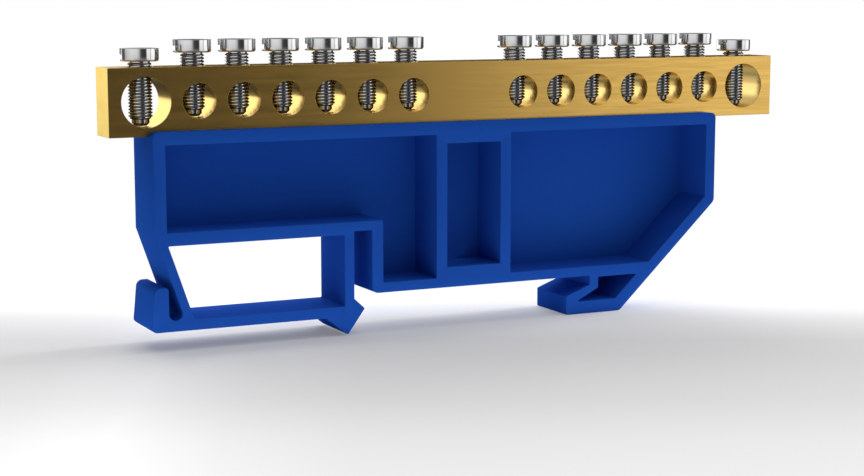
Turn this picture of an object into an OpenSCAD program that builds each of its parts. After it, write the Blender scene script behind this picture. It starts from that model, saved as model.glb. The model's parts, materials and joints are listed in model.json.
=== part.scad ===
// Neutral terminal bar: a drilled brass bar with clamp screws, on a blue moulded holder that clips on a rail.
// Millimetres. The origin is on the centre line of the rail, on the plane where the holder sits on it.
// +X runs along the bar, +Y away from the open side of the holder, +Z away from the rail.

/* [Rail] */
// Width of the top-hat rail that the holder clips onto
rail_w = 35; // [30:0.1:40]
// Room between the rail's fixed edge and the hook's post
rail_play = 0.05; // [0:0.01:0.2]
// Room between the rail's sprung edge and the latch leg
latch_play = 0.7; // [0.3:0.05:1.2]

/* [Holder body] */
// Depth of the moulding, front to back
holder_depth = 8.2; // [7:0.1:12]
// From the rail's centre to the latch end of the body
left_reach = 44.9; // [42:0.1:50]
// From the rail's centre to the hook end of the body
right_reach = 38.15; // [36:0.05:44]
// From the rail seat to the underside of the bar
seat_h = 21.5; // [20:0.1:26]
// Outer walls and ribs
wall = 1.55; // [1.2:0.05:1.8]
// Back wall behind the pockets
back_t = 1.5; // [1:0.1:2.2]
// Floor of the side pockets, over the rail
floor_t = 1.3; // [1:0.05:1.6]
// Roof of the side pockets, under the bar
roof_t = 1; // [0.8:0.05:1.6]
// Height of the lips beside the bar
lip_h = 0.6; // [0.4:0.05:1.2]
// Radius of the two top corners
top_r = 0.7; // [0.4:0.1:1.5]
// Radius in the corners of the pockets
pocket_r = 0.12; // [0.05:0.01:0.5]

/* [Centre pocket] */
// Inner width of the centre pocket
centre_w = 8.05; // [7:0.05:9]
// Roof of the centre pocket, which takes the fixing screw's head
centre_roof_t = 2.2; // [1.8:0.1:2.8]
// Floor of the centre pocket
centre_floor_t = 2.7; // [2:0.1:3.5]
// Driver hole through that floor
driver_hole_d = 5.2; // [5:0.1:5.8]

/* [Hook end] */
// Height of the bend between the end wall and the slanted wall
bend_h = 9.45; // [8:0.05:11]
// Slope of the slanted wall, from level
slant_angle = 43.2; // [40:0.1:48]
// Radius of the slanted wall's two outer bends
bend_r = 1; // [0.3:0.1:1.5]
// How far the hook reaches below the seat
hook_drop = 5.3; // [4.8:0.1:6]
// How far the hook reaches under the rail
hook_grip = 3.7; // [2.5:0.1:5]
// Height of the rail notch at its root
notch_h = 1.28; // [1.1:0.02:1.6]
// How much the notch widens from its root to its mouth
notch_flare = 1.39; // [1:0.01:1.6]
// Post between the notch and the pocket in the hook
post_t = 1.35; // [1.1:0.05:1.8]
// Wall of the hook under the notch
hook_web = 1; // [0.8:0.05:1.2]
// Floor and slanted wall of the hook
hook_wall = 1.75; // [1.4:0.05:2]
// Radius of the hook's outer corners
hook_r = 0.25; // [0.1:0.05:0.5]

/* [Latch] */
// Height of the shelf that closes the left pocket
shelf_h = 9.6; // [9:0.1:11]
// Thickness of the shelf over the window
shelf_t = 1.63; // [1.3:0.01:1.9]
// Thickness of the shelf over the slot
slot_roof_t = 1.2; // [0.9:0.05:1.5]
// Width of the slot between the latch leg and the body
slot_w = 2.6; // [2:0.05:3.4]
// Radius of the body's corner at the slot's mouth
slot_mouth_r = 0.8; // [0.3:0.05:1.2]
// Thickness of the latch leg
leg_t = 1.3; // [1:0.05:1.6]
// Height at which the slanted spring arm leaves the end wall
arm_h = 9.5; // [9:0.05:10.5]
// Lean of the spring arm, from upright
arm_angle = 18.9; // [15:0.1:22]
// Thickness of the spring arm
arm_t = 1.1; // [0.8:0.05:1.4]
// How far the bottom strip's underside lies below the seat
strip_drop = 2.8; // [2.4:0.05:3.4]
// Thickness of the bottom strip
strip_t = 1.35; // [1.1:0.05:1.7]
// Radius in the window's corners
window_r = 0.12; // [0.05:0.01:0.6]

/* [Latch tooth] */
// How far the tooth's tip reaches under the rail
tooth_grip = 0.77; // [0.4:0.01:1.2]
// Drop from the seat to where the tooth leaves the leg
tooth_root_drop = 0.52; // [0.3:0.02:0.8]
// Drop from the seat to the tooth's tip
tooth_tip_drop = 1.88; // [1.5:0.02:2.2]
// Drop from the seat to the tooth's foot
tooth_foot_drop = 5.2; // [4.6:0.1:5.6]
// Run of the tooth's lead-in face
tooth_lead = 2.43; // [1.8:0.01:3]
// Run of the tooth's back face
tooth_back = 3; // [2:0.1:4]
// Radius of the tooth's corners
tooth_r = 0.2; // [0.1:0.05:0.4]

/* [Screwdriver lug] */
// Radius of the round-bottomed gap between the lug and the arm
lug_gap_r = 0.89; // [0.6:0.01:1.1]
// Width of the lug at its foot
lug_w = 2.25; // [2:0.05:3]
// Height of the lug over the strip's underside
lug_h = 5.55; // [4.5:0.05:6.5]
// How far the outer face leans in from foot to top
lug_lean = 0.55; // [0.2:0.05:0.7]
// Radius of the lug's outer top corner
lug_top_r = 0.85; // [0.4:0.05:1]
// Radius of the lug's inner top corner
lug_inner_r = 0.35; // [0.1:0.05:0.4]
// Radius of the lug's foot
lug_foot_r = 0.6; // [0.2:0.05:0.9]

/* [Brass bar] */
// Length of the bar
bar_l = 98.6; // [97:0.1:110]
// Height of the bar
bar_h = 8.5; // [7.6:0.1:10]
// Thickness of the bar
bar_t = 5.3; // [5:0.1:6]
// Offset of the bar's centre from the rail's centre
bar_shift = -0.65; // [-2:0.05:2]
// Room on each side of the bar in the holder's channel
bar_play = 0.05; // [0.02:0.01:0.1]
// Diameter of the small wire bores
small_bore_d = 4.4; // [3.8:0.1:4.9]
// Diameter of the large wire bores
large_bore_d = 6.3; // [5.5:0.1:6.8]
// Spacing of the small wire bores
bore_pitch = 5.9; // [5.6:0.05:6.2]
// From the bar's centre to the first small bore
first_bore = 8.2; // [6.5:0.1:9]
// From each end of the bar to its large bore
large_inset = 4.8; // [4:0.1:5.4]
// Least brass between the large bore and the small one beside it
bore_web = 0.6; // [0.4:0.05:1]

/* [Clamp screws] */
// Outer diameter of the thread
screw_d = 3; // [2.6:0.1:3.2]
// Length under the head
screw_l = 7.95; // [7:0.05:10]
// Diameter of the head
head_d = 4.8; // [4.6:0.05:5.4]
// Height of the head
head_h = 1.6; // [1.3:0.1:2]
// Radius under the rim of the head
head_r = 0.25; // [0.1:0.05:0.5]
// Width of the driver slot
slot_cut_w = 0.8; // [0.5:0.05:1]
// Depth of the driver slot
slot_cut_h = 0.75; // [0.4:0.05:0.9]
// Diameter of the dog point
dog_d = 2.2; // [1.2:0.1:2.4]
// Length of the dog point
dog_l = 0.8; // [0.5:0.05:1]
// Chamfer at the end of the dog point
dog_chamfer = 0.35; // [0.1:0.05:0.45]
// Length of the cone between the dog point and the thread
dog_cone_l = 0.2; // [0.1:0.05:0.8]
// Running clearance of a thread, on the radius
thread_play = 0.03; // [0.01:0.01:0.08]
// Room between a screw at its lowest and what stops it
stop_gap = 0.05; // [0.03:0.01:0.2]

/* [Fixing screw] */
// Outer diameter of the thread
fixing_d = 2.5; // [2:0.1:3]
// Overall length, head included
fixing_l = 8; // [6:0.5:9]
// Diameter of the countersunk head
fixing_head_d = 4.7; // [4.2:0.1:4.9]
// Straight rim of the head
fixing_rim_h = 0.25; // [0.1:0.05:0.5]
// Clearance around the shank in the holder, on the radius
fixing_play = 0.2; // [0.1:0.05:0.4]
// Thread depth left free past the screw's tip
fixing_runout = 0.7; // [0.3:0.1:1]

/* [Hidden] */
$fn = 48;
cut = 0.1;
arc_steps = 6;

front_y = -holder_depth / 2;
left_x = -left_reach;
right_x = right_reach;
roof_z = seat_h - roof_t;
lip_z = seat_h + lip_h;

// Centre pocket and its ribs, on the bar's centre line
bar_x = bar_shift;
centre_left_x = bar_x - centre_w / 2;
centre_right_x = bar_x + centre_w / 2;
centre_roof_z = seat_h - centre_roof_t;

// Hook end: the slanted wall's two faces, by height
post_x = rail_w / 2 + rail_play;
hook_tip_x = rail_w / 2 - hook_grip;
hook_inner_x = post_x + post_t;
hook_floor_z = hook_wall - hook_drop;
hook_roof_z = floor_t - wall;
notch_slope = notch_flare / (post_x - hook_tip_x);
hook_shoulder_z = (hook_inner_x - post_x) * notch_slope - notch_h - hook_web;
function slant_outer_x(z) = right_x - (bend_h - z) / tan(slant_angle);
function slant_inner_x(z, thick) = slant_outer_x(z) - thick / sin(slant_angle);
inner_bend_z = bend_h + wall * (1 / cos(slant_angle) - tan(slant_angle));

// Latch loop: leg, slot, strip and the slanted arm's two faces, by height
leg_x = -rail_w / 2 - latch_play;
slot_wall_x = leg_x + slot_w;
slot_top_z = shelf_h - slot_roof_t;
window_top_z = shelf_h - shelf_t;
strip_z = -strip_drop;
strip_top_z = strip_z + strip_t;
function arm_outer_x(z) = left_x + (arm_h - z) * tan(arm_angle);
function arm_inner_x(z) = arm_outer_x(z) + arm_t / cos(arm_angle);
tooth_tip_x = tooth_grip - rail_w / 2;
tooth_foot_x = tooth_tip_x - tooth_lead;

// Lug: its gap's circle touches the arm's outer face and gives the lug's inner face
lug_gap_z = strip_top_z + lug_gap_r;
lug_gap_x = arm_outer_x(lug_gap_z) - lug_gap_r / cos(arm_angle);
lug_x = lug_gap_x - lug_gap_r;

// Bar and its bores, from left to right. The small ones go on as far as the large one leaves room
bar_top_z = seat_h + bar_h;
bore_z = seat_h + bar_h / 2;
large_bore = bar_l / 2 - large_inset;
room_ends = large_bore - bore_web - (large_bore_d + small_bore_d) / 2;
small_bores = [for (x = [first_bore:bore_pitch:room_ends]) x];
right_bores = concat([for (x = small_bores) [x, small_bore_d]], [[large_bore, large_bore_d]]);
left_bores = [for (i = [len(right_bores) - 1:-1:0]) [-right_bores[i][0], right_bores[i][1]]];
bores = concat(left_bores, right_bores);

// A screw is run in until an edge of its dog point's chamfer, or its head, all but meets the brass
function bore_drop(bore_d, x) = sqrt(pow(bore_d / 2, 2) - pow(x, 2));
function dog_stop_z(bore_d) =
    bore_z - min(bore_drop(bore_d, dog_d / 2 - dog_chamfer), bore_drop(bore_d, dog_d / 2) + dog_chamfer);
function head_z(bore_d) = stop_gap + max(bar_top_z, dog_stop_z(bore_d) + screw_l);

// Fixing screw: a head of 90 degrees, flush with the centre pocket's roof
fixing_cone_h = (fixing_head_d - fixing_d) / 2;

function screw_name(i) = str("clamp_screw_", i < 9 ? "0" : "", i + 1);

// Points of a circular arc
function arc(centre, r, from, to, steps) =
    [for (i = [0:steps]) let (a = from + (to - from) * i / steps) centre + r * [cos(a), sin(a)]];

// A corner p between its neighbours, rounded by radius p[2] where it has one
function unit(v) = v / norm(v);
function xy(p) = [p[0], p[1]];
function corner(before, p, after) =
    let (u = unit(xy(before) - xy(p)), v = unit(xy(after) - xy(p)), half = acos(u * v) / 2,
         r = len(p) > 2 ? p[2] : 0, mid = unit(u + v), centre = xy(p) + mid * r / sin(half),
         toward = atan2(-mid[1], -mid[0]), turn = sign(u[0] * v[1] - u[1] * v[0]) * (90 - half))
    r == 0 ? [xy(p)] : arc(centre, r, toward + turn, toward - turn, arc_steps);
function rounded(points) =
    [for (i = [0:len(points) - 1])
        each corner(points[(i + len(points) - 1) % len(points)], points[i], points[(i + 1) % len(points)])];

// A flat shape in X and Z, given depth d from y on
module in_depth(y, d) {
    translate([0, y + d, 0]) rotate([90, 0, 0]) linear_extrude(d) children();
}

// Side view of the whole moulding, round by the hook, the rail seat, the tooth and the lug
module holder_outline() {
    lug_gap = arc([lug_gap_x, lug_gap_z], lug_gap_r, arm_angle, -180, 2 * arc_steps);
    from_lug = [
        [lug_x, strip_z + lug_h, lug_inner_r],
        [lug_x - lug_w + lug_lean, strip_z + lug_h, lug_top_r],
        [lug_x - lug_w, strip_z, lug_foot_r],
        [tooth_foot_x - tooth_back, strip_z, tooth_r],
        [tooth_foot_x, -tooth_foot_drop, tooth_r],
        [tooth_tip_x, -tooth_tip_drop, tooth_r],
        [leg_x, -tooth_root_drop, tooth_r],
        [leg_x, slot_top_z, window_r],
        [slot_wall_x, slot_top_z, window_r],
        [slot_wall_x, 0, slot_mouth_r],
        [post_x, 0],
        [post_x, -notch_h, hook_r],
        [hook_tip_x, -notch_h - notch_flare, hook_r],
        [hook_tip_x, -hook_drop, hook_r],
        [slant_outer_x(-hook_drop), -hook_drop, bend_r],
        [right_x, bend_h, bend_r],
        [right_x, lip_z, top_r],
        [left_x, lip_z, top_r],
        [left_x, arm_h]
    ];
    difference() {
        polygon(rounded(concat(lug_gap, from_lug)));
        latch_window();
    }
}

// Opening inside the spring loop
module latch_window() {
    polygon(rounded([
        [arm_inner_x(window_top_z), window_top_z, window_r],
        [arm_inner_x(strip_top_z), strip_top_z, window_r],
        [leg_x - leg_t, strip_top_z, window_r],
        [leg_x - leg_t, window_top_z, window_r]
    ]));
}

// The four pockets in the front: over the shelf, in the centre, at the slanted wall and in the hook
module pocket_outlines() {
    polygon(rounded([
        [left_x + wall, roof_z, pocket_r],
        [left_x + wall, shelf_h, pocket_r],
        [slot_wall_x + wall, shelf_h, pocket_r],
        [slot_wall_x + wall, floor_t, pocket_r],
        [centre_left_x - wall, floor_t, pocket_r],
        [centre_left_x - wall, roof_z, pocket_r]
    ]));
    polygon(rounded([
        [centre_left_x, centre_roof_z, pocket_r],
        [centre_left_x, centre_floor_t, pocket_r],
        [centre_right_x, centre_floor_t, pocket_r],
        [centre_right_x, centre_roof_z, pocket_r]
    ]));
    polygon(rounded([
        [centre_right_x + wall, roof_z, pocket_r],
        [centre_right_x + wall, floor_t, pocket_r],
        [slant_inner_x(floor_t, wall), floor_t, pocket_r],
        [right_x - wall, inner_bend_z, pocket_r],
        [right_x - wall, roof_z, pocket_r]
    ]));
    polygon(rounded([
        [hook_inner_x, hook_roof_z, pocket_r],
        [hook_inner_x, hook_shoulder_z, pocket_r],
        [hook_tip_x + wall, hook_floor_z, pocket_r],
        [slant_inner_x(hook_floor_z, hook_wall), hook_floor_z, pocket_r],
        [slant_inner_x(hook_roof_z, hook_wall), hook_roof_z, pocket_r]
    ]));
}

// The fixing screw's shape, head down, grown by a clearance for the hole that takes it
module fixing_body(shank_d, play) {
    head_r_out = fixing_head_d / 2 + play;
    cylinder(h = fixing_rim_h, r = head_r_out);
    translate([0, 0, fixing_rim_h]) cylinder(h = fixing_cone_h, r1 = head_r_out, r2 = fixing_d / 2 + play);
    cylinder(h = fixing_l, d = shank_d);
}

// One moulding: body, pockets, hook, spring latch with tooth and lug, and the channel for the bar
module din_holder() {
    color("#1a48a0") difference() {
        in_depth(front_y, holder_depth) holder_outline();
        in_depth(front_y - cut, holder_depth - back_t + cut) pocket_outlines();
        translate([left_x - cut, -bar_t / 2 - bar_play, seat_h])
            cube([right_x - left_x + 2 * cut, bar_t + 2 * bar_play, lip_h + cut]);
        translate([bar_x, 0, centre_roof_z]) fixing_body(fixing_d + 2 * fixing_play, thread_play);
        translate([bar_x, 0, -cut]) cylinder(h = centre_floor_t + 2 * cut, d = driver_hole_d);
    }
}

// Drawn brass bar, cross-drilled for the wires, tapped from the top over each bore and once from below
module terminal_bar() {
    color("#c9a24a") difference() {
        translate([bar_x - bar_l / 2, -bar_t / 2, seat_h]) cube([bar_l, bar_t, bar_h]);
        for (bore = bores) translate([bar_x + bore[0], 0, bore_z]) {
            rotate([90, 0, 0]) cylinder(h = bar_t + 2 * cut, d = bore[1], center = true);
            cylinder(h = bar_h, r = screw_d / 2 + thread_play);
        }
        translate([bar_x, 0, seat_h - cut])
            cylinder(h = fixing_l - centre_roof_t + fixing_runout + cut, r = fixing_d / 2 + thread_play);
    }
}

// Countersunk screw from below, through the centre pocket's roof into the bar
module fixing_screw() {
    color("#b8bcc0") translate([bar_x, 0, centre_roof_z]) difference() {
        fixing_body(fixing_d, 0);
        translate([-fixing_head_d, -slot_cut_w / 2, -cut])
            cube([2 * fixing_head_d, slot_cut_w, slot_cut_h + cut]);
    }
}

// Slotted cheese-head screw with a dog point, turned as one profile, the slot along the bar
module clamp_screw(bore) {
    profile = concat(
        [[0, head_h], [head_d / 2, head_h]],
        arc([head_d / 2 - head_r, head_r], head_r, 0, -90, arc_steps),
        [[screw_d / 2, 0], [screw_d / 2, dog_cone_l + dog_l - screw_l], [dog_d / 2, dog_l - screw_l],
         [dog_d / 2, dog_chamfer - screw_l], [dog_d / 2 - dog_chamfer, -screw_l], [0, -screw_l]]
    );
    color("#c8ccd0") translate([bar_x + bore[0], 0, head_z(bore[1])]) difference() {
        rotate_extrude() polygon(profile);
        translate([-head_d, -slot_cut_w / 2, head_h - slot_cut_h]) cube([2 * head_d, slot_cut_w, head_h]);
    }
}

din_holder();
terminal_bar();
fixing_screw();
for (i = [0:len(bores) - 1])
    clamp_screw(bores[i]);
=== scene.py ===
import json
import math

import bmesh
import bpy
from mathutils import Matrix, Vector


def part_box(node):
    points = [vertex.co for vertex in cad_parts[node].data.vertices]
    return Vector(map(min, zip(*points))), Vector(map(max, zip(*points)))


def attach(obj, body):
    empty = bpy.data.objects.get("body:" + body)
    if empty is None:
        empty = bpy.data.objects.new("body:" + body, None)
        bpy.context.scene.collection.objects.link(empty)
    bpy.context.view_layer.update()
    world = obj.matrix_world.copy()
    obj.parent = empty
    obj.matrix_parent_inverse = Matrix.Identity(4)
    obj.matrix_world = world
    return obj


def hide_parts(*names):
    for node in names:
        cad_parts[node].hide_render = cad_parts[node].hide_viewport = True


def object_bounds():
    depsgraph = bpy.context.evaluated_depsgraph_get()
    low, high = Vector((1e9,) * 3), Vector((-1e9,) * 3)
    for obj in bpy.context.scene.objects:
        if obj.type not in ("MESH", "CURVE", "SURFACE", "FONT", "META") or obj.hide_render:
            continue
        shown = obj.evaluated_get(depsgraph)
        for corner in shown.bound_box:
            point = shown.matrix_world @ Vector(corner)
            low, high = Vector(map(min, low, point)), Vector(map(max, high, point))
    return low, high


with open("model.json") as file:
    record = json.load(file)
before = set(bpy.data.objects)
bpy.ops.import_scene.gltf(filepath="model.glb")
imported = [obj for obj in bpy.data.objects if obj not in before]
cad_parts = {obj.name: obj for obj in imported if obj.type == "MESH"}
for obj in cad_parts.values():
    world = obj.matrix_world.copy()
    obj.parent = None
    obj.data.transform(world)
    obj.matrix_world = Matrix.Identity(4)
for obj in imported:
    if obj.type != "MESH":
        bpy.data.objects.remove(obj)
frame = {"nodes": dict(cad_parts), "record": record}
cad_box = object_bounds()

# The holder is one injection moulding in blue plastic. Pockets, rail hook, spring latch and lug leave the
# tool together, so it has one colour all over, a low sheen, and edges broken by the tool's small radius.
MM = 0.001
WELD = 0.0005 * MM
FLAT = math.radians(0.5)
EDGE_STEPS = 3
HOLDER_EDGE_R = 0.08 * MM
HOLDER_SHARP = math.radians(25)
HOLDER_BLUE = (0.0115, 0.071, 0.390, 1.0)
HOLDER_BLUE_PALE = (0.0135, 0.079, 0.420, 1.0)
HOLDER_SHEEN = 0.001
# A roughness runs from its first value to its second as the marks that it follows go from 0 to 1.
HOLDER_ROUGHNESS = (0.64, 0.76)
FLOW_MARKS = {"per_metre": (95.0, 95.0, 95.0), "detail": 3.0}
TOOL_GRAIN = {"per_metre": (6500.0, 6500.0, 6500.0), "detail": 2.0}
TOOL_GRAIN_RELIEF = {"strength": 0.10, "depth": 0.02 * MM}
TOOL_GRAIN_ROUGHNESS = 0.06


class Shade:
    """One socket of a node tree. Arithmetic on it adds Math nodes, and node() adds any other kind."""

    def __init__(self, tree, socket=None):
        self.tree = tree
        self.socket = socket

    def node(self, kind, settings=None, sockets=None, out=0):
        """Adds a node, sets it up, fills or links its inputs, and gives back one of its outputs."""
        made = self.tree.nodes.new("ShaderNode" + kind)
        for name, value in (settings or {}).items():
            if name == "stops":
                set_stops(made.color_ramp, value)
            else:
                setattr(made, name, value)
        for name, value in (sockets or {}).items():
            socket = live_socket(made.inputs, name)
            if isinstance(value, Shade):
                self.tree.links.new(value.socket, socket)
            else:
                socket.default_value = value
        return Shade(self.tree, live_socket(made.outputs, out) if made.outputs else None)

    def math(self, operation, first, second):
        return self.node("Math", {"operation": operation}, {0: first, 1: second})

    def __neg__(self):
        return self.math("MULTIPLY", self, -1.0)

    def __add__(self, other):
        return self.math("ADD", self, other)

    def __radd__(self, other):
        return self.math("ADD", other, self)

    def __sub__(self, other):
        return self.math("SUBTRACT", self, other)

    def __rsub__(self, other):
        return self.math("SUBTRACT", other, self)

    def __mul__(self, other):
        return self.math("MULTIPLY", self, other)

    def __rmul__(self, other):
        return self.math("MULTIPLY", other, self)


def live_socket(sockets, name):
    """A node's socket by place or by name, leaving out those that its settings switch off."""
    if isinstance(name, int):
        return sockets[name]
    return next(socket for socket in sockets if socket.name == name and socket.enabled)


def set_stops(ramp, stops):
    """Gives a colour ramp its stops, each a place and a grey level."""
    ramp.elements.remove(ramp.elements[1])
    ramp.elements[0].position = stops[0][0]
    for place, _ in stops[1:]:
        ramp.elements.new(place)
    for element, (_, level) in zip(ramp.elements, stops):
        element.color = (level, level, level, 1.0)


def surface(name, finish):
    """A material whose finish is a function from an empty tree to its shader."""
    made = bpy.data.materials.new(name)
    made.use_nodes = True
    made.node_tree.nodes.clear()
    tree = Shade(made.node_tree)
    tree.node("OutputMaterial", {}, {"Surface": finish(tree)})
    return made


def mix_colours(tree, share, first, second):
    """A colour that goes from the first to the second as the share goes from 0 to 1."""
    return tree.node("Mix", {"data_type": "RGBA"}, {"Factor": share, "A": first, "B": second}, "Result")


def between(share, first, second):
    """A level that goes from the first to the second as the share goes from 0 to 1."""
    return first + share * (second - first)


def stretched(tree, place, scale):
    """A point with its lengths along X, Y and Z scaled."""
    return tree.node("VectorMath", {"operation": "MULTIPLY"}, {0: place, 1: scale})


def marks(tree, place, per_metre, detail, distortion=0.0):
    """Chance marks on a surface, so many to the metre along X, Y and Z."""
    scaled = stretched(tree, place, per_metre)
    return tree.node("TexNoise", {}, {
        "Vector": scaled, "Scale": 1.0, "Detail": detail, "Distortion": distortion})


def relief(tree, height, strength, depth):
    """Marks too fine to model, felt as a bump."""
    return tree.node("Bump", {}, {"Height": height, "Strength": strength, "Distance": depth})


def moulded_blue(tree):
    """Blue plastic with faint flow marks and the fine grain of the tool."""
    place = tree.node("TexCoord", out="Object")
    flow = marks(tree, place, **FLOW_MARKS)
    grain = marks(tree, place, **TOOL_GRAIN)
    return tree.node("BsdfPrincipled", {}, {
        "Base Color": mix_colours(tree, flow, HOLDER_BLUE, HOLDER_BLUE_PALE),
        "Roughness": between(flow, *HOLDER_ROUGHNESS) + TOOL_GRAIN_ROUGHNESS * grain,
        "Specular IOR Level": HOLDER_SHEEN,
        "Normal": relief(tree, grain, **TOOL_GRAIN_RELIEF),
    })


def placed(name, data):
    """Puts a mesh, a lamp or a camera into the scene as an object."""
    made = bpy.data.objects.new(name, data)
    bpy.context.scene.collection.objects.link(made)
    return made


def add_piece(name, mesh, materials):
    """A mesh as an object in the scene, with its finishes."""
    for material in materials:
        mesh.materials.append(material)
    return placed(name, mesh)


def to_mesh(name, shape):
    """Turns a bmesh into a mesh and lets it go."""
    mesh = bpy.data.meshes.new(name)
    shape.to_mesh(mesh)
    shape.free()
    return mesh


def settled(piece):
    """Makes a piece's modifiers part of its mesh."""
    graph = bpy.context.evaluated_depsgraph_get()
    mesh = bpy.data.meshes.new_from_object(piece.evaluated_get(graph), depsgraph=graph)
    piece.modifiers.clear()
    piece.data = mesh


def frame_shape(node):
    """A CAD node's shape, welded along its edges and with each flat face made whole."""
    shape = bmesh.new()
    shape.from_mesh(frame["nodes"][node].data)
    bmesh.ops.remove_doubles(shape, verts=shape.verts, dist=WELD)
    bmesh.ops.dissolve_limit(shape, angle_limit=FLAT, verts=shape.verts, edges=shape.edges)
    return shape


holder_mesh = to_mesh("holder_moulding", frame_shape("din_holder"))
holder_mesh.shade_smooth()
holder = add_piece("holder_moulding", holder_mesh, [surface("moulded blue plastic", moulded_blue)])
rounding = holder.modifiers.new("tool radius", "BEVEL")
rounding.width = HOLDER_EDGE_R
rounding.segments = EDGE_STEPS
rounding.limit_method = "ANGLE"
rounding.angle_limit = HOLDER_SHARP
rounding.harden_normals = True
settled(holder)
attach(holder, "base")
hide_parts("din_holder")

# The terminal bar is a length of drawn brass, sawn off square at both ends. It is cross-drilled for the
# wires and tapped from above over each bore. One countersunk screw from below holds it to the holder.
bar_low, bar_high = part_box("terminal_bar")
bar_size = bar_high - bar_low
wire_entries = [mount for mount in frame["record"]["mounts"] if mount["name"].startswith("wire_entry")]
BAR_EDGE_R = 0.04 * MM
BAR_SHARP = math.radians(12)
ROUND_PROFILE = 0.5
BORE_RIM_R = 0.02 * MM
BORE_SIDES = 96
TAP_R = 1.53 * MM
TAP_RIM = 0.15 * MM
TAP_SIDES = 48
CUT_PAST = 1.0 * MM
OUTER_FACE = 0.02 * MM
BRASS = (0.88, 0.562, 0.152, 1.0)
BRASS_BROWN = (0.81, 0.503, 0.132, 1.0)
BRASS_EDGE = (1.0, 0.90, 0.62, 1.0)
DRAWN_ROUGHNESS = (0.26, 0.20)
TOOL_MARK_DEPTH = 0.01 * MM
DIE_LINES = {"per_metre": (22.0, 2600.0, 2600.0), "detail": 4.0}
DIE_LINE_RELIEF = {"strength": 0.15, "depth": TOOL_MARK_DEPTH}
DIE_LINE_SHARE = 0.25
STAIN = {"per_metre": (120.0, 2100.0, 2100.0), "detail": 4.0, "distortion": 0.7}
STAIN_LEVELS = [(0.38, 0.0), (0.64, 1.0)]
SAWN_BRASS = (0.86, 0.635, 0.195, 1.0)
SAWN_BRASS_PALE = (0.90, 0.685, 0.225, 1.0)
SAWN_ROUGHNESS = (0.30, 0.44)
SAW_LINES = {"per_metre": (1.0, 320.0, 5200.0), "detail": 3.0}
SAW_LINE_RELIEF = {"strength": 0.20, "depth": TOOL_MARK_DEPTH}
SAWN_CLOUD = {"per_metre": (650.0, 650.0, 650.0), "detail": 4.0}
DRILLED_BRASS = (0.95, 0.67, 0.24, 1.0)
DRILLED_BRASS_PALE = (0.98, 0.71, 0.27, 1.0)
DRILLED_ROUGHNESS = (0.19, 0.25)
DRILL_LINES = {"per_metre": (60.0, 5200.0, 60.0), "detail": 2.0}
DRILL_LINE_RELIEF = {"strength": 0.06, "depth": TOOL_MARK_DEPTH}


def block(size, middle):
    """A square block of a size about its middle."""
    shape = bmesh.new()
    bmesh.ops.create_cube(shape, size=1.0)
    bmesh.ops.scale(shape, vec=size, verts=shape.verts)
    bmesh.ops.translate(shape, vec=middle, verts=shape.verts)
    return shape


def turned(shape, profile, sides):
    """Turns a profile of radius and height, from its lower end to its upper one, round Z."""
    rings = []
    for radius, height in profile:
        if radius == 0.0:
            rings.append([shape.verts.new((0.0, 0.0, height))] * sides)
            continue
        turn = [2 * math.pi * i / sides for i in range(sides)]
        rings.append([shape.verts.new((radius * math.cos(a), radius * math.sin(a), height)) for a in turn])
    for lower, upper in zip(rings, rings[1:]):
        for i in range(sides):
            j = (i + 1) % sides
            corners = [lower[i], lower[j], upper[j], upper[i]]
            shape.faces.new(list(dict.fromkeys(corners)))
    return [vert for ring in rings for vert in dict.fromkeys(ring)]


def quarter_round(radius, height, r, start, steps):
    """Points of a quarter circle of radius r about a centre at (radius, height), from an angle on."""
    angles = [start + math.pi / 2 * i / steps for i in range(steps + 1)]
    return [(radius + r * math.cos(a), height + r * math.sin(a)) for a in angles]


def wire_drill(shape, entry, depth):
    """A drill for one wire bore, flared at both faces of the bar, where the real drill's burr is broken."""
    rim_r = entry["dims"]["r_mm"] * MM + BORE_RIM_R
    flare = quarter_round(rim_r, depth / 2 - BORE_RIM_R, BORE_RIM_R, math.pi / 2, EDGE_STEPS)
    half = flare[::-1] + [(rim_r, depth / 2 + CUT_PAST), (0.0, depth / 2 + CUT_PAST)]
    verts = turned(shape, [(r, -h) for r, h in reversed(half)] + half, BORE_SIDES)
    place = Vector(entry["pos_m"])
    turn = Matrix.Rotation(math.pi / 2, 4, "X")
    bmesh.ops.transform(shape, verts=verts, matrix=Matrix.Translation((place.x, 0.0, place.z)) @ turn)


def tap_drill(shape, entry, top):
    """A drill for the tapped hole over one wire bore, with a small lead-in at the top of the bar."""
    place = Vector(entry["pos_m"])
    profile = [(0.0, place.z), (TAP_R, place.z), (TAP_R, top - TAP_RIM), (TAP_R + TAP_RIM, top),
               (TAP_R + TAP_RIM, top + CUT_PAST), (0.0, top + CUT_PAST)]
    verts = turned(shape, profile, TAP_SIDES)
    bmesh.ops.translate(shape, verts=verts, vec=(place.x, 0.0, 0.0))


def cut_away(piece, cutter, name):
    """Takes a cutter's shape out of a piece."""
    tool = placed(name, to_mesh(name, cutter))
    cut = piece.modifiers.new(name, "BOOLEAN")
    cut.operation = "DIFFERENCE"
    cut.solver = "EXACT"
    cut.object = tool
    settled(piece)
    bpy.data.objects.remove(tool)


def bare_metal(tree, colour, edge, roughness, normal=None):
    """Metal with its colour, its tint at a flat angle, its polish and, where they show, its tool marks."""
    sockets = {"Base Color": colour, "Metallic": 1.0, "Specular Tint": edge, "Roughness": roughness}
    if normal:
        sockets["Normal"] = normal
    return tree.node("BsdfPrincipled", {}, sockets)


def drawn_brass(tree):
    """The bar's long sides, with fine lines from the die and faint brown stains."""
    place = tree.node("TexCoord", out="Object")
    die_lines = marks(tree, place, **DIE_LINES)
    stain = marks(tree, place, **STAIN)
    mixed = between(DIE_LINE_SHARE, stain, die_lines)
    tone = tree.node("ValToRGB", {"stops": STAIN_LEVELS}, {"Fac": mixed})
    return bare_metal(tree, mix_colours(tree, tone, BRASS_BROWN, BRASS), BRASS_EDGE,
                      between(tone, *DRAWN_ROUGHNESS), relief(tree, die_lines, **DIE_LINE_RELIEF))


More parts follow.
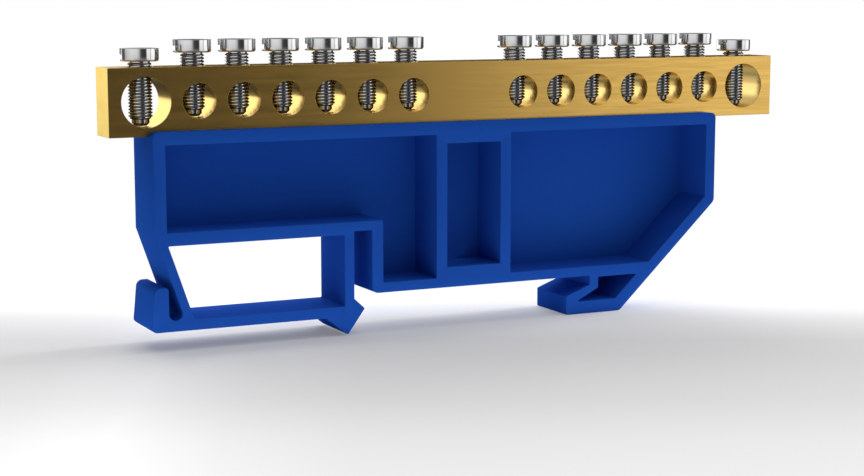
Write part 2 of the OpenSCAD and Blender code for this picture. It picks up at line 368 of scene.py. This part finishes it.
def sawn_brass(tree):
    """The bar's ends, with fine lines from the saw and a cloudy tone."""
    place = tree.node("TexCoord", out="Object")
    saw_lines = marks(tree, place, **SAW_LINES)
    cloud = marks(tree, place, **SAWN_CLOUD)
    return bare_metal(tree, mix_colours(tree, cloud, SAWN_BRASS, SAWN_BRASS_PALE), BRASS_EDGE,
                      between(cloud, *SAWN_ROUGHNESS), relief(tree, saw_lines, **SAW_LINE_RELIEF))


def drilled_brass(tree):
    """The bores, bright inside and ringed by the drill's feed."""
    place = tree.node("TexCoord", out="Object")
    drill_lines = marks(tree, place, **DRILL_LINES)
    return bare_metal(tree, mix_colours(tree, drill_lines, DRILLED_BRASS, DRILLED_BRASS_PALE), BRASS_EDGE,
                      between(drill_lines, *DRILLED_ROUGHNESS),
                      relief(tree, drill_lines, **DRILL_LINE_RELIEF))


bar_shape = block(bar_size, (bar_low + bar_high) / 2)
bmesh.ops.bevel(bar_shape, geom=bar_shape.edges, offset=BAR_EDGE_R, segments=EDGE_STEPS,
                profile=ROUND_PROFILE, affect="EDGES")
bar = add_piece("brass_bar", to_mesh("brass_bar", bar_shape), [
    surface("drawn brass", drawn_brass),
    surface("sawn brass", sawn_brass),
    surface("drilled brass", drilled_brass),
])
wire_drills = bmesh.new()
tap_drills = bmesh.new()
for entry in wire_entries:
    wire_drill(wire_drills, entry, bar_size.y)
    tap_drill(tap_drills, entry, bar_high.z)
cut_away(bar, wire_drills, "wire drills")
cut_away(bar, tap_drills, "tap drills")
DRAWN, SAWN, DRILLED = range(3)
for face in bar.data.polygons:
    middle = face.center
    inset = [min(abs(middle[k] - bar_low[k]), abs(bar_high[k] - middle[k])) for k in range(3)]
    if inset[0] < OUTER_FACE:
        face.material_index = SAWN
    elif min(inset) < OUTER_FACE:
        face.material_index = DRAWN
    else:
        face.material_index = DRILLED
bar.data.shade_smooth()
bar.data.set_sharp_from_angle(angle=BAR_SHARP)
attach(bar, "base")
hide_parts("terminal_bar")

# The fixing screw is a countersunk steel screw from below, under the bar's middle. Its head lies flush in
# the roof of the centre pocket, where a driver reaches it through the hole in the pocket's floor.
STEEL = (0.76, 0.765, 0.775, 1.0)
STEEL_BRIGHT = (0.86, 0.865, 0.87, 1.0)
STEEL_EDGE = (1.0, 1.0, 1.0, 1.0)
PLATED_ROUGHNESS = (0.07, 0.14)
PLATING = {"per_metre": (900.0, 900.0, 900.0), "detail": 4.0}
TURNING_PER_METRE = 9000.0
TURNING_DETAIL = 2.0
TURNING_RELIEF = {"strength": 0.12, "depth": TOOL_MARK_DEPTH}


def length_of(tree, vector):
    return tree.node("VectorMath", {"operation": "LENGTH"}, {0: vector}, "Value")


def from_axis(tree, place):
    """How far a point is from its object's upright axis."""
    return length_of(tree, stretched(tree, place, (1.0, 1.0, 0.0)))


def plated_steel(tree):
    """Bright plating over the rings that the lathe left."""
    place = tree.node("TexCoord", out="Object")
    turning = tree.node("TexNoise", {"noise_dimensions": "1D"}, {
        "W": from_axis(tree, place) * TURNING_PER_METRE, "Scale": 1.0, "Detail": TURNING_DETAIL})
    plating = marks(tree, place, **PLATING)
    return bare_metal(tree, mix_colours(tree, plating, STEEL, STEEL_BRIGHT), STEEL_EDGE,
                      between(plating, *PLATED_ROUGHNESS), relief(tree, turning, **TURNING_RELIEF))


steel = surface("plated steel", plated_steel)
fixing_screw = frame["nodes"]["fixing_screw"]
fixing_screw.data.materials.clear()
fixing_screw.data.materials.append(steel)

# The clamp screws are slotted cheese-head screws, turned and rolled in steel and plated bright. One stands
# over each wire bore, and its plain dog point comes down on the wire. All fourteen are alike.
screw_low, screw_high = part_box("clamp_screw_01")
HEAD_R = (screw_high.x - screw_low.x) / 2
HEAD_H = 1.6 * MM
HEAD_RIM_R = 0.25 * MM
HEAD_TOP_EDGE = 0.03 * MM
SLOT_W = 0.80 * MM
SLOT_H = 0.75 * MM
SHANK_L = screw_high.z - screw_low.z - HEAD_H
NECK_L = 0.12 * MM
DOG_R = 1.10 * MM
DOG_L = 0.80 * MM
DOG_CHAMFER = 0.35 * MM
DOG_CONE_RISE = 0.4
THREAD_R = 1.5 * MM
THREAD_PITCH = 0.40 * MM
THREAD_STARTS = 2
THREAD_DEPTH = 0.20 * MM
THREAD_ROOT_R = THREAD_R - THREAD_DEPTH
THREAD_SIDES = 48
# One pitch of the thread: the corners' places along it, and 1 on its crest or 0 at its root.
THREAD_CORNERS = ((0.0, 1.0), (0.25, 1.0), (0.46, 0.0), (0.79, 0.0))
SCREW_SHARP = math.radians(32)
THREAD_CREST = (0.80, 0.80, 0.81, 1.0)
# The grooves' colour is painted shade, darkening the thread's roots between its crests.
THREAD_GROOVE_SHADE = (0.28, 0.28, 0.29, 1.0)
# Near-black tint of thread and dog point at a flat angle: painted shade along their sides, dimming what
# they mirror there.
THREAD_EDGE_SHADE = (0.05, 0.05, 0.05, 1.0)
THREAD_ROUGHNESS = (0.34, 0.14)
# From the first radius to the second, the grooves' painted shade gives way to the crests' colour.
THREAD_SHADE_FADE_FROM_R = THREAD_R - 0.8 * THREAD_DEPTH
THREAD_SHADE_FADE_TO_R = THREAD_R - 0.1 * THREAD_DEPTH
OIL_FILM = {"per_metre": (1400.0, 1400.0, 1400.0), "detail": 3.0}
OIL_ROUGHNESS = 0.08
# The dog point's steel is far darker than the plating: painted shade for the bottom of the bore that it
# sits in.
DOG_SHADE_STEEL = (0.34, 0.34, 0.35, 1.0)
DOG_SHADE_STEEL_PALE = (0.44, 0.44, 0.45, 1.0)
DOG_ROUGHNESS = (0.10, 0.18)
DOG_LINES = {"per_metre": (90.0, 90.0, 7000.0), "detail": 2.0}
SLOT_ROUGHNESS = (0.45, 0.60)
SLOT_LINES = {"per_metre": (300.0, 9000.0, 9000.0), "detail": 2.0}


def rise(tree, value, start, end, kind="LINEAR"):
    """Goes from 0 at the start to 1 at the end, and stays level beyond both."""
    return tree.node("MapRange", {"interpolation_type": kind}, {
        "Value": value, "From Min": start, "From Max": end}, "Result")


def rolled_thread(tree):
    """A thread with shiny crests and duller grooves painted dark as shade, under a film of oil."""
    place = tree.node("TexCoord", out="Object")
    crest = rise(tree, from_axis(tree, place), THREAD_SHADE_FADE_FROM_R, THREAD_SHADE_FADE_TO_R)
    oil = marks(tree, place, **OIL_FILM)
    return bare_metal(tree, mix_colours(tree, crest, THREAD_GROOVE_SHADE, THREAD_CREST), THREAD_EDGE_SHADE,
                      between(crest, *THREAD_ROUGHNESS) + OIL_ROUGHNESS * oil)


def turned_point(tree):
    """The dog point, ringed by the lathe and painted darker than the head, as shade for the bottom of the
    bore that it sits in.
    """
    dog_lines = marks(tree, tree.node("TexCoord", out="Object"), **DOG_LINES)
    return bare_metal(tree, mix_colours(tree, dog_lines, DOG_SHADE_STEEL, DOG_SHADE_STEEL_PALE), THREAD_EDGE_SHADE,
                      between(dog_lines, *DOG_ROUGHNESS))


def sawn_steel(tree):
    """The slot's walls and floor, left dull by the saw."""
    slot_lines = marks(tree, tree.node("TexCoord", out="Object"), **SLOT_LINES)
    return bare_metal(tree, mix_colours(tree, slot_lines, STEEL, STEEL_BRIGHT), STEEL_EDGE,
                      between(slot_lines, *SLOT_ROUGHNESS))


def thread(shape, low, high):
    """A rolled thread as a grid that follows the helix, closing to plain circles at both of its ends."""
    corners = len(THREAD_CORNERS)
    rows_per_turn = THREAD_STARTS * corners
    pitches = math.ceil((high - low) / THREAD_PITCH) + 2 * THREAD_STARTS
    rows = []
    for row in range(pitches * corners):
        along, crest = THREAD_CORNERS[row % corners]
        line = []
        for i in range(THREAD_SIDES):
            wound = row // corners - THREAD_STARTS + along + THREAD_STARTS * i / THREAD_SIDES
            height = min(max(low + wound * THREAD_PITCH, low), high)
            cone = DOG_R + (height - low) / DOG_CONE_RISE
            radius = min(THREAD_ROOT_R + crest * THREAD_DEPTH, cone, THREAD_ROOT_R + high - height)
            angle = 2 * math.pi * i / THREAD_SIDES
            line.append(shape.verts.new((radius * math.cos(angle), radius * math.sin(angle), height)))
        rows.append(line)
    for lower, upper in zip(rows, rows[1:]):
        for i in range(THREAD_SIDES - 1):
            shape.faces.new((lower[i], lower[i + 1], upper[i + 1], upper[i]))
    for row in range(len(rows) - rows_per_turn - 1):
        next_turn = row + rows_per_turn
        shape.faces.new((rows[row][-1], rows[next_turn][0], rows[next_turn + 1][0], rows[row + 1][-1]))


def clamp_screw_shape():
    """One clamp screw, its head's underside at height 0 and its dog point down."""
    shape = bmesh.new()
    low = DOG_L - SHANK_L
    high = -NECK_L
    thread(shape, low, high)
    dog = [(0.0, -SHANK_L), (DOG_R - DOG_CHAMFER, -SHANK_L), (DOG_R, DOG_CHAMFER - SHANK_L), (DOG_R, low)]
    rim = quarter_round(HEAD_R - HEAD_RIM_R, HEAD_RIM_R, HEAD_RIM_R, -math.pi / 2, EDGE_STEPS + 1)
    head = [(THREAD_ROOT_R, high), (THREAD_ROOT_R, 0.0), *rim, (HEAD_R, HEAD_H - HEAD_TOP_EDGE),
            (HEAD_R - HEAD_TOP_EDGE, HEAD_H), (0.0, HEAD_H)]
    turned(shape, dog, THREAD_SIDES)
    turned(shape, head, THREAD_SIDES)
    bmesh.ops.remove_doubles(shape, verts=shape.verts, dist=WELD)
    bmesh.ops.recalc_face_normals(shape, faces=shape.faces)
    return shape


pattern = add_piece("clamp_screw_pattern", to_mesh("clamp_screw", clamp_screw_shape()), [
    steel,
    surface("rolled thread", rolled_thread),
    surface("turned point", turned_point),
    surface("sawn steel", sawn_steel),
])
cut_away(pattern, block((4 * HEAD_R, SLOT_W, 2 * SLOT_H), (0.0, 0.0, HEAD_H)), "slot saw")
PLATED, ROLLED, TURNED, SAWN_SLOT = range(4)
for face in pattern.data.polygons:
    middle = face.center
    in_slot = abs(middle.y) < SLOT_W / 2 + WELD and HEAD_H - SLOT_H - WELD < middle.z < HEAD_H - WELD
    if middle.z < DOG_L - SHANK_L:
        face.material_index = TURNED
    elif middle.z < -NECK_L:
        face.material_index = ROLLED
    elif in_slot and (abs(middle.y) > SLOT_W / 2 - WELD or middle.z < HEAD_H - SLOT_H + WELD):
        face.material_index = SAWN_SLOT
    else:
        face.material_index = PLATED
pattern.data.shade_smooth()
pattern.data.set_sharp_from_angle(angle=SCREW_SHARP)
screw_mesh = pattern.data
bpy.data.objects.remove(pattern)
for number in range(1, len(wire_entries) + 1):
    low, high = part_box(f"clamp_screw_{number:02d}")
    screw = placed(f"cheese_head_screw_{number:02d}", screw_mesh)
    screw.location = ((low.x + high.x) / 2, (low.y + high.y) / 2, high.z - HEAD_H)
    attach(screw, f"screw_{number:02d}")
    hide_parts(f"clamp_screw_{number:02d}")

# The floor is a pale matt sheet under the holder's hook and latch foot. Close beside the part it glows as a
# hidden fill lamp that lights only matt surfaces, and it fades out behind and all round, so that the room's
# white begins there with no edge.
holder_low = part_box("din_holder")[0]
FLOOR_HALF = 600 * MM
FLOOR_WHITE = (0.86, 0.86, 0.86, 1.0)
# A glow that only the camera sees, lifting the whole sheet and the shadows on it evenly.
FLOOR_LIFT = 0.18
# The set, which is the floor and the camera, stands turned from the part by this angle.
SET_TURN = math.radians(26.016)
# The sheet's tones to the camera at lengths in millimetres, from the front of the set to its back and from
# left
# to right: painted shade in a soft band just in front of the part, and painted light towards its left.
FLOOR_SHADE_TONES = [(-80, 0.59), (-66, 0.56), (-48, 0.477), (-33, 0.445), (-24, 0.425), (-15, 0.426),
               (-8, 0.474), (0, 0.535), (8, 0.64), (16, 0.78)]
FLOOR_SIDE_LIGHT = [(-70, 1.08), (-55, 1.14), (-49, 1.18), (-43, 1.28), (-37, 1.34), (-31, 1.24), (-25, 1.14),
               (-12, 1.02), (0, 1.0), (60, 1.0)]
FADE_FROM = 4 * MM
FADE_TO = 30 * MM
ROUND_FADE_FROM = 130 * MM
ROUND_FADE_TO = 330 * MM
GLOW_SPOTS = [
    {"middle": (-14 * MM, -9 * MM, 0.0), "inner_r": 4 * MM, "outer_r": 24 * MM, "strength": 1.0},
    {"middle": (-60 * MM, -2 * MM, 0.0), "inner_r": 2 * MM, "outer_r": 7 * MM, "strength": 0.6},
]
GLOW_STRETCH = (0.25, 1.0, 0.0)
GLOW_EDGE = 2.5 * MM


def soft_rise(tree, value, start, end):
    return rise(tree, value, start, end, "SMOOTHSTEP")


def parts_of(tree, vector):
    """A vector's lengths along X, Y and Z."""
    return [tree.node("SeparateXYZ", {}, {"Vector": vector}, axis) for axis in "XYZ"]


def length_along(tree, vector, direction):
    return tree.node("VectorMath", {"operation": "DOT_PRODUCT"}, {0: vector, 1: direction}, "Value")


def tone_at(tree, length, tones):
    """The tone at a length, from tones given at lengths in millimetres."""
    first = tones[0][0]
    last = tones[-1][0]
    stops = [((where - first) / (last - first), tone) for where, tone in tones]
    return tree.node("ValToRGB", {"stops": stops}, {"Fac": rise(tree, length, first * MM, last * MM)})


def glow_spot(tree, place, middle, inner_r, outer_r, strength):
    """Light that the sheet gives off round one place as a hidden fill lamp, in an oval that is long along
    the part.
    """
    off = tree.node("VectorMath", {"operation": "SUBTRACT"}, {0: place, 1: middle})
    return strength * soft_rise(tree, length_of(tree, stretched(tree, off, GLOW_STRETCH)), outer_r, inner_r)


def pale_sheet(tree):
    """The sheet in its tones of painted shade and light, with its glow as a hidden fill lamp, and clear
    where it fades out.
    """
    place = tree.node("TexCoord", out="Object")
    depth = length_along(tree, place, (math.sin(SET_TURN), math.cos(SET_TURN), 0.0))
    across = length_along(tree, place, (math.cos(SET_TURN), -math.sin(SET_TURN), 0.0))
    seen = tree.node("LightPath", out="Is Camera Ray")
    bounced = tree.node("LightPath", out="Is Diffuse Ray")
    in_metal = tree.node("LightPath", out="Is Glossy Ray")
    # Painted shade and painted light in the sheet's tones, which only the camera sees.
    tone = tone_at(tree, depth, FLOOR_SHADE_TONES) * tone_at(tree, across, FLOOR_SIDE_LIGHT)
    matt = tree.node("BsdfDiffuse", {}, {"Color": mix_colours(tree, seen, FLOOR_WHITE, tone)})
    east, north, _ = parts_of(tree, place)
    clear_of_holder = tree.math("MAXIMUM", holder_low.y - north, holder_low.x - east)
    beside = rise(tree, clear_of_holder, 0.0, GLOW_EDGE)
    spread = sum(glow_spot(tree, place, **spot) for spot in GLOW_SPOTS)
    glow = tree.node("Emission", {}, {"Color": spread * beside * bounced + FLOOR_LIFT * seen})
    sheet = tree.node("AddShader", {}, {0: matt, 1: glow})
    far = soft_rise(tree, depth, FADE_FROM, FADE_TO)
    beyond = soft_rise(tree, length_of(tree, place), ROUND_FADE_FROM, ROUND_FADE_TO)
    gone = tree.math("MAXIMUM", tree.math("MAXIMUM", far, beyond), in_metal)
    return tree.node("MixShader", {}, {0: gone, 1: sheet, 2: tree.node("BsdfTransparent")})


floor_shape = bmesh.new()
bmesh.ops.create_grid(floor_shape, x_segments=1, y_segments=1, size=FLOOR_HALF)
floor = add_piece("floor", to_mesh("floor", floor_shape), [surface("pale sheet", pale_sheet)])
floor.location.z = cad_box[0].z

# The room is plain white where it is seen, and its soft light is weaker from the front and the left and
# stronger from behind. Metal mirrors the room's light panels, the dark gaps between them and the floor,
# and what it mirrors by way of other metal is a little dimmer.
ROOM_WHITE = (1.0, 1.0, 1.0, 1.0)
ROOM_PLAIN = 1.02
ROOM_FRONT_DIP = 0.65
ROOM_LEFT_DIP = 1.00
ROOM_BACK_RISE = 1.2
# Levels round the room, by degrees from the front towards the right: those of the panels and their gaps,
# and the share of them that is left at the foot.
PANELS = [(-180, 1.5), (-152, 1.5), (-141, 1.35), (-135, 0.10), (-112, 0.10), (-106, 0.5), (-90, 0.68),
          (-60, 0.82), (-30, 0.80), (-16, 0.55), (-10, 0.2), (-4, 0.06), (10, 0.04), (26, 0.04), (31, 0.94),
          (36, 1.04), (50, 1.04), (53, 0.5), (56, 0.5), (60, 1.2), (95, 1.2), (101, 0.06), (163, 0.06),
          (166, 1.5)]
PANELS_FOOT = [(-180, 0.03), (-163, 0.03), (-151, 0.45), (-142, 0.65), (-134, 0.9), (100, 0.9), (160, 0.1),
               (180, 0.03)]
PANELS_TOP = 0.50
FLOOR_MIRRORED = 0.62
FLOOR_FRONT_DIP = 0.32
UNDER_SHARE = 0.15
UNDER_BACK = 0.60
TWICE_SHARE = 0.78
# Where one part of the room gives way to the next, as lengths on a ball of radius 1 round the part: first
# those towards the front, the left and the back, then those in height.
FRONT_EDGE = (0.45, 0.85)
LEFT_EDGE = (0.0, 0.7)
BACK_EDGE = (0.2, 1.0)
FLOOR_BACK_EDGE = (0.84, 0.72)
SKYLINE = (-0.05, 0.10)
PANELS_TOP_EDGE = (0.35, 0.60)
PANELS_FOOT_EDGE = (-0.07, -0.15)
FLOOR_EDGE = (-0.17, -0.27)
UNDER_EDGE = (-0.42, -0.60)


def round_room(tree, east, north, levels):
    """The level in one direction, from levels given by degrees."""
    turn = tree.math("ARCTAN2", east, -north) * (0.5 / math.pi) + 0.5
    stops = [(degrees / 360 + 0.5, level) for degrees, level in levels]
    return tree.node("ValToRGB", {"stops": stops}, {"Fac": turn})


def soft_light(tree, east, north, up):
    """What falls on matt surfaces from one direction."""
    before = soft_rise(tree, -north, *FRONT_EDGE)
    left = soft_rise(tree, -east, *LEFT_EDGE)
    behind = soft_rise(tree, north, *BACK_EDGE) * soft_rise(tree, up, *SKYLINE)
    level = ROOM_PLAIN - ROOM_FRONT_DIP * before - ROOM_LEFT_DIP * left + ROOM_BACK_RISE * behind
    return tree.math("MAXIMUM", level, 0.0)


def mirrored_room(tree, east, north, up):
    """What metal mirrors from one direction."""
    top = soft_rise(tree, up, *PANELS_TOP_EDGE)
    foot = soft_rise(tree, up, *PANELS_FOOT_EDGE)
    level = between(top, round_room(tree, east, north, PANELS), PANELS_TOP)
    level = level * between(foot, 1.0, round_room(tree, east, north, PANELS_FOOT))
    aside = soft_rise(tree, north, *FLOOR_BACK_EDGE)
    on_floor = soft_rise(tree, up, *FLOOR_EDGE) * aside
    floor_level = FLOOR_MIRRORED - FLOOR_FRONT_DIP * soft_rise(tree, -north, *FRONT_EDGE)
    level = between(on_floor, level, floor_level)
    under = soft_rise(tree, up, *UNDER_EDGE)
    level = level * between(under * aside, 1.0, UNDER_SHARE)
    level = between(under * (1 - aside), level, UNDER_BACK)
    times_mirrored = tree.node("LightPath", out="Glossy Depth")
    twice = rise(tree, times_mirrored, 1.0, 2.0)
    return level * between(twice, 1.0, TWICE_SHARE)


def studio(tree):
    """White to the camera, panels and floor to metal, and soft light to all else."""
    look = parts_of(tree, tree.node("TexCoord", out="Generated"))
    seen = tree.node("LightPath", out="Is Camera Ray")
    in_metal = tree.node("LightPath", out="Is Glossy Ray")
    room = between(in_metal, soft_light(tree, *look), mirrored_room(tree, *look))
    return tree.node("Background", {}, {"Color": ROOM_WHITE, "Strength": between(seen, room, 1.0)})


world = bpy.data.worlds.new("studio")
world.use_nodes = True
world.node_tree.nodes.clear()
world_tree = Shade(world.node_tree)
world_tree.node("OutputWorld", {}, {"Surface": studio(world_tree)})
bpy.context.scene.world = world

# Three round lamps add to the room's light: a weak one overhead, one behind, and a strong one far off on
# the right. They shape the plastic and its shadow on the floor, and metal doesn't mirror them.
LAMPS = {
    "top lamp": {"place": Vector((80 * MM, 25 * MM, 400 * MM)), "size": 200 * MM, "watts": 0.2},
    "back lamp": {"place": Vector((93 * MM, 373 * MM, 321 * MM)), "size": 300 * MM, "watts": 0.5},
    "side lamp": {"place": Vector((750 * MM, 60 * MM, 280 * MM)), "size": 240 * MM, "watts": 4.0},
}
for name, lamp in LAMPS.items():
    light = bpy.data.lights.new(name, "AREA")
    light.shape = "DISK"
    light.size = lamp["size"]
    light.energy = lamp["watts"]
    stand = placed(name, light)
    stand.location = lamp["place"]
    stand.rotation_euler = (-lamp["place"]).to_track_quat("-Z", "Y").to_euler()
    stand.visible_glossy = False

# The camera stands off to the left in front of the part, a little above its screw heads, and looks slightly
# down. Its lens takes in the whole part, as the photograph does.
CAMERA_PLACE = (-107.20 * MM, -209.51 * MM, 39.08 * MM)
CAMERA_PITCH = math.radians(-8.037)
CAMERA_LENS = 72.437
camera_data = bpy.data.cameras.new("camera")
camera_data.lens = CAMERA_LENS
camera = placed("camera", camera_data)
camera.location = CAMERA_PLACE
camera.rotation_euler = (math.pi / 2 + CAMERA_PITCH, 0.0, -SET_TURN)
bpy.context.scene.camera = camera
bpy.context.scene.view_settings.view_transform = "Standard"
